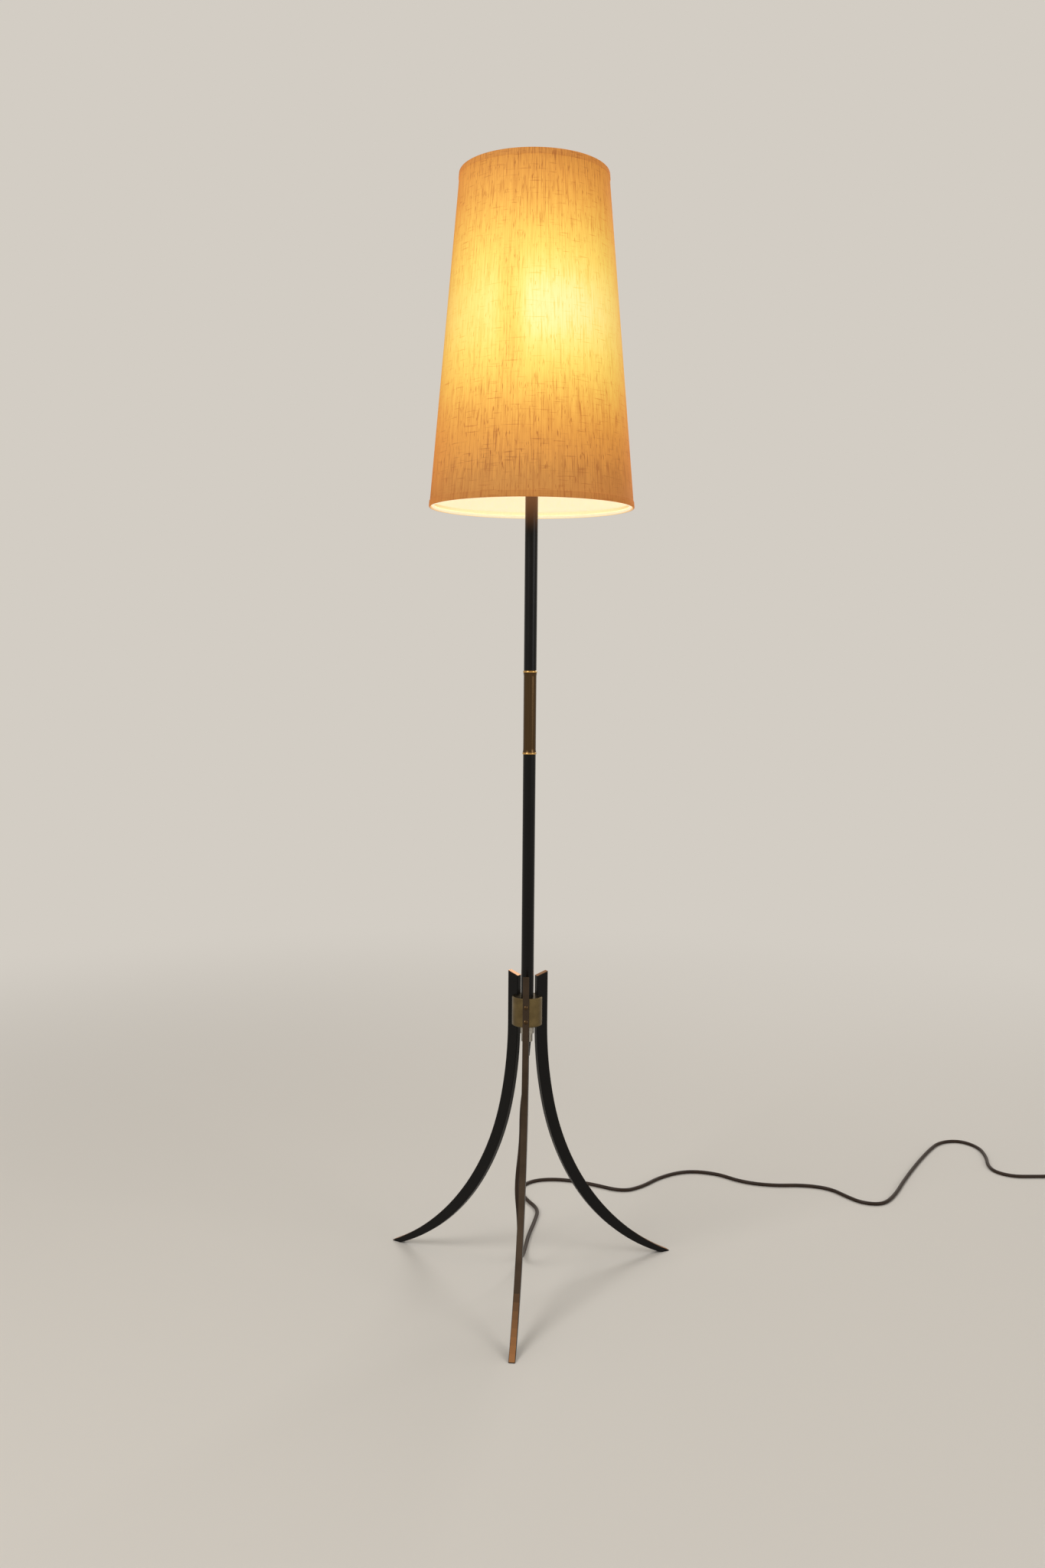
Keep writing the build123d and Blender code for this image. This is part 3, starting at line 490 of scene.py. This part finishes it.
# %% [markdown]
# ## Nut, nipple and rod: zinc plate
# The nut and nipple under the hub and the rod of the shade are zinc-plated steel, grey with a slight
# crystal bloom. The rod's thread could be cut in CAD, but it would cost thousands of faces for a piece
# that is nearly hidden, so a wave of the thread's pitch gives it as a bump.

# %% Nut, nipple and rod: zinc plate
# Zinc-plated steel: metallic, roughness 0.3 to 0.46, bloom of about 3 mm, rings of about 0.6 mm.
zinc, shader, place = start_finish("zinc_plated_steel", Metallic=1.0)
bloom = add(zinc, "TexVoronoi", Vector=place, Scale=per_mm(3))
colour = add(zinc, "Mix", RGBA, Factor=bloom, A=linear("#B8B4AB"), B=linear("#989489"))
gloss = add(zinc, "MapRange", Value=bloom, To_Min=0.3, To_Max=0.46)
level = add(zinc, "VectorMath", {"operation": "MULTIPLY"}, Vector=place, Vector_001=(0, 0, per_mm(0.6)))
rings = add(zinc, "TexNoise", Vector=level, Scale=1.0, Detail=1.0)
relief = add(zinc, "Bump", Height=rings, Strength=0.3, Distance=0.06 * MM)
add(zinc, shader, Base_Color=colour, Roughness=gloss, Normal=relief)
dress(zinc, "base_nut", "base_nipple")

# Threaded rod: the same zinc with a thread. Its pitch of 1 mm is drawn as 2 mm, so that a close view shows
# it. A wave of scale 1 repeats every 2 pi / 20 m.
thread, shader, place = start_finish("zinc_plated_thread", Metallic=1.0, Roughness=0.4)
pitch = add(thread, "TexWave", {"bands_direction": "Z"}, Vector=place, Scale=per_mm(2.0) * 2 * pi / 20,
            Distortion=0.0)
# Painted shade: the colour follows the wave, darker in the thread's grooves and lighter on its crests.
colour = add(thread, "Mix", RGBA, Factor=pitch, A=linear("#8C887F"), B=linear("#B9B5AC"))
relief = add(thread, "Bump", Height=pitch, Strength=0.8, Distance=0.5 * MM)
add(thread, shader, Base_Color=colour, Normal=relief)
dress(thread, "shade_rod")

# %% [markdown]
# ## Cluster and pins: nickel plate
# The cluster that holds the bulbs, the caps of the bulbs and the pins of the plug are nickel-plated
# brass, warmer than zinc and brighter. One even mirror would look like chrome, so the buffing shows as
# soft clouds of gloss with hair lines in them.

# %% Cluster and pins: nickel plate
# Nickel plate on brass: metallic, roughness 0.14 to 0.28, clouds of about 10 mm, hair lines of 0.7 mm.
nickel, shader, place = start_finish("buffed_nickel_plate", Metallic=1.0)
buff = add(nickel, "TexNoise", Vector=place, Scale=per_mm(10), Detail=4.0)
colour = add(nickel, "Mix", RGBA, Factor=buff, A=linear("#C9C2B4"), B=linear("#A8A194"))
gloss = add(nickel, "MapRange", Value=buff, To_Min=0.14, To_Max=0.28)
hair_lines = add(nickel, "TexNoise", Vector=place, Scale=per_mm(0.7), Detail=2.0)
relief = add(nickel, "Bump", Height=hair_lines, Strength=0.08, Distance=0.04 * MM)
add(nickel, shader, Base_Color=colour, Roughness=gloss, Normal=relief)
in_threes = [f"{piece}_{n}" for piece in ("cluster_arm", "holder_cup", "bulb_cap") for n in (1, 2, 3)]
dress(nickel, "cluster_body", "cluster_lid", *in_threes, "switch_nut", "switch_body", "shade_seat_nut",
      "plug_pins")

# %% [markdown]
# ## Bush and flex: rubber
# The bush where the lead leaves the lamp is moulded black rubber, and the flex inside the pole has a
# rubber sheath. Rubber is matt with a chalky bloom. It needs no bump, because its surface is smooth and
# only its dullness changes.

# %% Bush and flex: rubber
# Black rubber: IOR 1.52, roughness 0.6 to 0.8, bloom of about 4 mm.
rubber, shader, place = start_finish("moulded_black_rubber", IOR=1.52)
chalk = add(rubber, "TexNoise", Vector=place, Scale=per_mm(4), Detail=3.0)
colour = add(rubber, "Mix", RGBA, Factor=chalk, A=linear("#141210"), B=linear("#211E1B"))
gloss = add(rubber, "MapRange", Value=chalk, To_Min=0.6, To_Max=0.8)
add(rubber, shader, Base_Color=colour, Roughness=gloss)
dress(rubber, "cord_bush", "inner_flex")

# %% [markdown]
# ## Bulb holders and knob: phenolic
# The holders and the switch knob are pressed from phenolic powder, hard, dark brown and glossy. The
# powder flows in the hot mould and leaves cloudy marks, so a noise that is stirred a little takes the
# place of one even brown.

# %% Bulb holders and knob: phenolic
# Phenolic moulding: IOR 1.6, roughness 0.2 to 0.34, flow marks of about 8 mm.
phenolic, shader, place = start_finish("pressed_brown_phenolic", IOR=1.6)
flow = add(phenolic, "TexNoise", Vector=place, Scale=per_mm(8), Detail=4.0, Distortion=0.8)
colour = add(phenolic, "Mix", RGBA, Factor=flow, A=linear("#1C1310"), B=linear("#33221A"))
gloss = add(phenolic, "MapRange", Value=flow, To_Min=0.2, To_Max=0.34)
add(phenolic, shader, Base_Color=colour, Roughness=gloss)
dress(phenolic, "holder_shell_1", "holder_shell_2", "holder_shell_3", "switch_knob")

# %% [markdown]
# ## Bulbs: lit opal glass
# The lamp is on. Opal glass scatters the filament's light, so a bulb shows as an even warm globe that is
# a little darker towards its neck. It could be a glass shell around a light, but the glow is what the
# eye sees, so the opal itself gives the light.

# %% Bulbs: lit opal glass
# Opal glass: IOR 1.5, roughness 0.18, clouds of about 15 mm. The glow falls off towards the cap.
globe_glow, neck_share = 3.0, 0.35
bulb_box = [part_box(f"bulb_glass_{number}") for number in (1, 2, 3)]
bulb_centres = [(low + high) / 2 for low, high in bulb_box]
bulb_radius = (bulb_box[0][1].x - bulb_box[0][0].x) / 2
for centre, (low, high) in zip(bulb_centres, bulb_box):
    centre.z = high.z - bulb_radius
opal, shader, place = start_finish("lit_opal_glass", Base_Color=linear("#F3EEE2"), Roughness=0.18)
height = add(opal, "SeparateXYZ", Vector=place).outputs["Z"]
neck_z, wide_z = bulb_box[0][0].z, bulb_centres[0].z
lit = add(opal, "MapRange", Value=height, From_Min=neck_z, From_Max=wide_z, To_Min=neck_share, To_Max=1.0)
cloud = add(opal, "TexNoise", Vector=place, Scale=per_mm(15), Detail=2.0)
warm = add(opal, "Mix", RGBA, Factor=cloud, A=linear("#FFE3A4"), B=linear("#FFF0C4"))
glow = add(opal, "Math", {"operation": "MULTIPLY"}, Value=lit, Value_001=globe_glow)
add(opal, shader, Emission_Color=warm, Emission_Strength=glow)
dress(opal, "bulb_glass_1", "bulb_glass_2", "bulb_glass_3")
print("bulb centres", [[round(v, 3) for v in centre] for centre in bulb_centres])

# %% [markdown]
# ## Shade: section of the cover
# The cover is one piece of slubby linen, bonded to a stiff white liner and rolled over a wire at both
# rims, where the fold shows as a thin line. It could be draped by simulation, but a bonded cover is
# stretched and has no folds. So its section is drawn once, hems included, from the boxes of the CAD hems.
# Each point has a depth under the outside of the shade and a height, both in millimetres.

# %% Shade: section of the cover
low_hem, high_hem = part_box("shade_bottom_trim"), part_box("shade_top_trim")
shade_low_z, shade_high_z = low_hem[0].z / MM, high_hem[1].z / MM
shade_height = shade_high_z - shade_low_z
hem_height = shade_high_z - high_hem[0].z / MM
shade_low_r, fold_r = low_hem[1].x / MM, high_hem[1].x / MM     # the top hem is widest at its fold
shade_high_r = shade_low_r + (fold_r - shade_low_r) * shade_height / (shade_height - hem_height)
hem = 0.8                # thickness of the folded hem over the cover
hem_fold = 3.0           # from the outside of the hem to its inner face
roll_r = hem_fold / 2
roll_steps = 8
cloth_rows = 16


def rim(up):
    """Section of one rolled rim, from its inner edge round to the cover, as (depth, height from the rim)."""
    half_turn = [pi * i / roll_steps for i in range(roll_steps + 1)]
    roll_over = [(roll_r + roll_r * cos(angle), roll_r - roll_r * sin(angle)) for angle in half_turn]
    soft_edge = [(0.02, hem_height - 0.8), (0.25, hem_height - 0.2), (hem, hem_height + 0.25)]
    return [(depth, up * height) for depth, height in [(hem_fold, hem_height), *roll_over, *soft_edge]]


low_rim = [(depth, shade_low_z + height) for depth, height in rim(1)]
high_rim = [(depth, shade_high_z + height) for depth, height in rim(-1)]
first, last = low_rim[-1][1], high_rim[-1][1]
rows = [(hem, first + (last - first) * i / cloth_rows) for i in range(1, cloth_rows)]
section = []
for depth, z in low_rim + rows + high_rim[::-1]:
    part = (z - shade_low_z) / shade_height
    section.append((shade_low_r + (shade_high_r - shade_low_r) * part - depth, z))
print("section of", len(section), "points,", round(shade_height), "mm high")

# %% [markdown]
# ## Shade: turning the section
# The section is turned round the lamp. Blender's Screw modifier could do it, but the two ends of a cover
# meet in a lap at the back, which stands half a millimetre proud, so the turns are placed one by one.
# The UV map is in metres along the cloth, so that threads keep their real size.

# %% Shade: turning the section
lap_width = 12.0
lap_rise = 0.5
lap_slope = 0.4          # run in which the lap falls back to the cover
lap_azimuth = pi / 2     # at the back, away from the camera
segments = 180
lap = lap_width / 2 / shade_low_r
lap_edge = lap_slope / shade_low_r
angles = [lap + lap_edge + (2 * pi - 2 * (lap + lap_edge)) * i / segments for i in range(segments + 1)]
angles = [0.0, lap, *angles, 2 * pi - lap]
mean_r = (shade_low_r + shade_high_r) / 2
along = [0.0]            # length along the section
for (r0, z0), (r1, z1) in zip(section, section[1:]):
    along.append(along[-1] + hypot(r1 - r0, z1 - z0))

cover_mesh = bpy.data.meshes.new("shade_cover")
shape = bmesh.new()
threads = shape.loops.layers.uv.new("threads")
grid = []
for angle in angles:
    raised = lap_rise if angle <= lap or angle >= 2 * pi - lap else 0.0
    around = lap_azimuth + angle
    grid.append([shape.verts.new(((r + raised) * cos(around) * MM, (r + raised) * sin(around) * MM, z * MM))
                 for r, z in section])
for i in range(len(angles)):
    j = (i + 1) % len(angles)
    left, right = angles[i], angles[j] if j else 2 * pi
    for k in range(len(section) - 1):
        face = shape.faces.new((grid[i][k], grid[j][k], grid[j][k + 1], grid[i][k + 1]))
        face.smooth = True
        corners = ((left, along[k]), (right, along[k]), (right, along[k + 1]), (left, along[k + 1]))
        for loop, (u, v) in zip(face.loops, corners):
            loop[threads].uv = (u * mean_r * MM, v * MM)
cloth_area = sum(face.calc_area() for face in shape.faces)
shape.to_mesh(cover_mesh)
shape.free()
cover = bpy.data.objects.new("shade_cover", cover_mesh)
bpy.context.collection.objects.link(cover)
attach(cover, "shade")
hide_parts("shade_linen", "shade_bottom_trim", "shade_top_trim")

# %% [markdown]
# ## Linen: the light behind it
# Lit linen is brightest next to the bulbs and warmer and darker away from them. Real translucency would
# show this too, but it needs many samples, and an exported model would lose it. So the light that each
# bulb throws on the wall is worked out in the nodes, by distance and angle. The eye sees light in ratios,
# so its logarithm is taken and spread from 0 at the rims to 1 beside a bulb. The liner uses this as well.

# %% Linen: the light behind it
wall_softness = 60.0     # mm; the white liner spreads the light, so it never peaks as beside a bare bulb
bright_drop = 30.0       # mm; the bulbs are brightest below the middle of their globes
bulb_strengths = (1.12, 0.48, 0.48)     # painted glow: the front bulb's share is largest, so the sides are darker
rim_light, peak_light = 1.08, 2.35      # logarithms of the light at the rims and beside a bulb


def bulb_light(material):
    """Light of the three bulbs on a wall, from 0 at the shade's rims to 1 beside a bulb, and the way out."""
    spot = add(material, "NewGeometry").outputs["Position"]
    flat = add(material, "VectorMath", {"operation": "MULTIPLY"}, Vector=spot, Vector_001=(1, 1, 0))
    outward = add(material, "VectorMath", {"operation": "NORMALIZE"}, Vector=flat)
    total = None
    for centre, strength in zip(bulb_centres, bulb_strengths):
        bright = centre - Vector((0, 0, bright_drop * MM))
        ray = add(material, "VectorMath", {"operation": "SUBTRACT"}, Vector=spot, Vector_001=bright)
        way = add(material, "VectorMath", {"operation": "NORMALIZE"}, Vector=ray)
        slant = add(material, "VectorMath", {"operation": "DOT_PRODUCT"}, Vector=way, Vector_001=outward)
        square = add(material, "VectorMath", {"operation": "DOT_PRODUCT"}, Vector=ray, Vector_001=ray)
        spread = add(material, "Math", {"operation": "ADD"}, Value=square.outputs["Value"],
                     Value_001=(wall_softness * MM) ** 2)
        spread = add(material, "Math", {"operation": "DIVIDE"}, Value=spread, Value_001=strength)
        one = add(material, "Math", {"operation": "DIVIDE"}, Value=slant.outputs["Value"], Value_001=spread)
        total = add(material, "Math", {"operation": "ADD"}, Value=total, Value_001=one) if total else one
    ratio = add(material, "Math", {"operation": "LOGARITHM"}, Value=total, Value_001=10.0)
    light = add(material, "MapRange", {"clamp": False}, Value=ratio, From_Min=rim_light, From_Max=peak_light)
    return light, outward


print("light from", round(10 ** rim_light), "at the rims to", round(10 ** peak_light), "beside a bulb")

# %% [markdown]
# ## Linen: its threads
# Linen yarn is spun unevenly. With light behind it, the thick places, called slubs, show as dark dashes,
# mostly upright, and the doubled cloth of the hems as a darker band. Each thread could be drawn as a wave,
# but real threads are never so regular. A noise that is stretched along the cloth's own UV map gives
# dashes of any length and width, and five of them make the cloth.

# %% Linen: its threads
# Natural linen, plain weave: matt, roughness 0.85. Loose fibres stand off it as a warm fuzz, which hides
# part of the glow where one looks along the cloth, so the sides of the shade are deeper than its front.
thread_kinds = (
    # mm across, mm along, where in the noise a thread starts and is full, and how much it counts
    (2.2, 90, 0.45, 0.75, 0.45),     # long strands
    (2.4, 36, 0.57, 0.72, 0.6),      # slubs
    (1.9, 15, 0.64, 0.71, 0.8),      # the darkest slubs
    (30, 2.0, 0.63, 0.74, 0.6),      # level slubs, which are rarer
    (2.0, 24, 0.35, 0.8, 0.25),      # the weave, 0.7 mm fine, but drawn coarser so that it shows at all
)
hem_step, hem_count = 0.4, 0.3       # mm in which a hem starts, and how much its doubled cloth counts
linen, shader, place = start_finish("natural_slub_linen", Roughness=0.85, Sheen_Weight=1.0,
                                    Sheen_Roughness=0.6, Sheen_Tint=linear("#FF9A50"))
cloth = add(linen, "TexCoord").outputs["UV"]
dense = None
for across, along_thread, thin, thick, count in thread_kinds:
    run = add(linen, "VectorMath", {"operation": "MULTIPLY"}, Vector=cloth,
              Vector_001=(per_mm(across), per_mm(along_thread), 1))
    yarn = add(linen, "TexNoise", Vector=run, Scale=1.0, Detail=1.0, Roughness=0.6)
    yarn = add(linen, "MapRange", Value=yarn, From_Min=thin, From_Max=thick, To_Max=count)
    dense = add(linen, "Math", {"operation": "ADD"}, Value=dense, Value_001=yarn) if dense else yarn
height = add(linen, "SeparateXYZ", Vector=place).outputs["Z"]
middle = (shade_low_z + shade_height / 2) * MM
from_middle = add(linen, "Math", {"operation": "SUBTRACT"}, Value=height, Value_001=middle)
from_middle = add(linen, "Math", {"operation": "ABSOLUTE"}, Value=from_middle)
hem_start = (shade_height / 2 - hem_height) * MM
hemmed = add(linen, "MapRange", Value=from_middle, From_Min=hem_start, From_Max=hem_start + hem_step * MM,
             To_Max=hem_count)
dense = add(linen, "Math", {"operation": "ADD", "use_clamp": True}, Value=dense, Value_001=hemmed)
print(len(thread_kinds), "kinds of thread and the hems")

# %% [markdown]
# ## Linen: its glow
# The cloth gets a glow of its own from the bulbs' light, on a scale of colours from orange to pale yellow.
# A thick thread passes less light, and redder. Plain darkening would only grey it, so the thread moves its
# spot down this scale. The narrow top gets more light, from wall to wall. The rod between the bulbs leaves
# a soft upright shadow at the front, which stays put when the shade turns, as the bulbs do.

# %% Linen: its glow
top_start, top_gain = 1430, 0.15     # mm above the floor, and the light gained at the top rim
rod_shadow = Vector((-23, -124, 1368)) * MM
shadow_width, shadow_height, shadow_depth = 30, 130, 0.24
thread_loss = 0.2                    # light lost behind the thickest threads
light, outward = bulb_light(linen)
gain = add(linen, "MapRange", Value=height, From_Min=top_start * MM, From_Max=shade_high_z * MM,
           To_Max=top_gain)
light = add(linen, "Math", {"operation": "ADD"}, Value=light, Value_001=gain)
spot = add(linen, "NewGeometry").outputs["Position"]
off = add(linen, "VectorMath", {"operation": "SUBTRACT"}, Vector=spot, Vector_001=rod_shadow)
off = add(linen, "VectorMath", {"operation": "MULTIPLY"}, Vector=off,
          Vector_001=(per_mm(shadow_width), per_mm(shadow_width) / 3, per_mm(shadow_height)))
off = add(linen, "VectorMath", {"operation": "LENGTH"}, Vector=off).outputs["Value"]
shadow = add(linen, "MapRange", {"interpolation_type": "SMOOTHSTEP"}, Value=off, From_Min=1.0, From_Max=0.0,
             To_Max=shadow_depth)
light = add(linen, "Math", {"operation": "SUBTRACT"}, Value=light, Value_001=shadow)
held_back = add(linen, "Math", {"operation": "MULTIPLY"}, Value=dense, Value_001=thread_loss)
light = add(linen, "Math", {"operation": "SUBTRACT"}, Value=light, Value_001=held_back)
glow = add(linen, "ValToRGB", Fac=light)
stops = ((0.0, "#8F4C16"), (0.11, "#B06922"), (0.22, "#C27C27"), (0.34, "#D79A39"), (0.46, "#E4B84B"),
         (0.61, "#EED260"), (0.75, "#F4E27C"), (0.89, "#F8ECA2"), (1.0, "#FAEEAF"))
for where, colour in stops[1:-1]:
    glow.color_ramp.elements.new(where).color = linear(colour)
glow.color_ramp.elements[0].color = linear(stops[0][1])
glow.color_ramp.elements[-1].color = linear(stops[-1][1])
# The inner face of the hems looks at the bulbs, so it is as bright as the liner.
facing = add(linen, "NewGeometry").outputs["True Normal"]
inwards = add(linen, "VectorMath", {"operation": "DOT_PRODUCT"}, Vector=facing, Vector_001=outward)
inwards = add(linen, "MapRange", Value=inwards.outputs["Value"], From_Min=0.3, From_Max=-0.3)
lit = add(linen, "Mix", RGBA, Factor=inwards, A=glow.outputs["Color"], B=linear("#FBEBB8"))
flax = add(linen, "Mix", RGBA, Factor=dense, A=linear("#A88545"), B=linear("#6E4F26"))
relief = add(linen, "Bump", Height=dense, Strength=0.4, Distance=0.3 * MM)
add(linen, shader, Base_Color=flax, Emission_Color=lit, Emission_Strength=1.0, Normal=relief)
cover_mesh.materials.append(linen)
print(linen.name, "on", cover.name, "with", len(linen.node_tree.nodes), "nodes")

# %% [markdown]
# ## Liner: white film
# Inside, a stiff white film backs the linen. It takes the full light of the bulbs, so it shows almost
# white. The glowing globes light the film beside them, but little of that gets to the rims. An even glow
# on top would burn out beside the bulbs, so the film's own glow uses the bulb light the other way round:
# most at the rims, least beside the bulbs.

# %% Liner: white film
# White film: matt, roughness 0.6, with a faint paper mottle of about 5 mm.
backing, shader, place = start_finish("white_backing_film", Roughness=0.6)
mottle = add(backing, "TexNoise", Vector=place, Scale=per_mm(5), Detail=3.0)
colour = add(backing, "Mix", RGBA, Factor=mottle, A=linear("#EFE8D8"), B=linear("#E2D9C4"))
light, outward = bulb_light(backing)
warm = add(backing, "Mix", RGBA, Factor=light, A=linear("#FFF4D2"), B=linear("#9C8A5C"))
add(backing, shader, Base_Color=colour, Emission_Color=warm, Emission_Strength=0.46)
dress(backing, "shade_liner")

# %% [markdown]
# ## Ring and spider: enamelled wire
# The ring at the mouth and the spider that carries the shade are wire, dipped in white enamel, which is
# thinner in some places. The ring is lit by all of the liner round it, the spider only from below. Both
# could have a finish of their own, but the light between them changes evenly, so one glow fades upwards.

# %% Ring and spider: enamelled wire
# Dipped enamel: IOR 1.5, roughness 0.25 to 0.42, thin places of about 6 mm.
ring_glow, spider_glow = 0.5, 0.05
wire, shader, place = start_finish("white_wire_enamel", Emission_Color=linear("#FFF0C0"))
height = add(wire, "SeparateXYZ", Vector=place).outputs["Z"]
lit = add(wire, "MapRange", Value=height, From_Min=shade_low_z * MM, From_Max=bulb_centres[0].z,
          To_Min=ring_glow, To_Max=spider_glow)
thin = add(wire, "TexNoise", Vector=place, Scale=per_mm(6), Detail=3.0)
colour = add(wire, "Mix", RGBA, Factor=thin, A=linear("#EFEBE1"), B=linear("#D9D3C4"))
gloss = add(wire, "MapRange", Value=thin, To_Min=0.25, To_Max=0.42)
add(wire, shader, Base_Color=colour, Roughness=gloss, Emission_Strength=lit)
dress(wire, "shade_bottom_ring", "shade_spider")
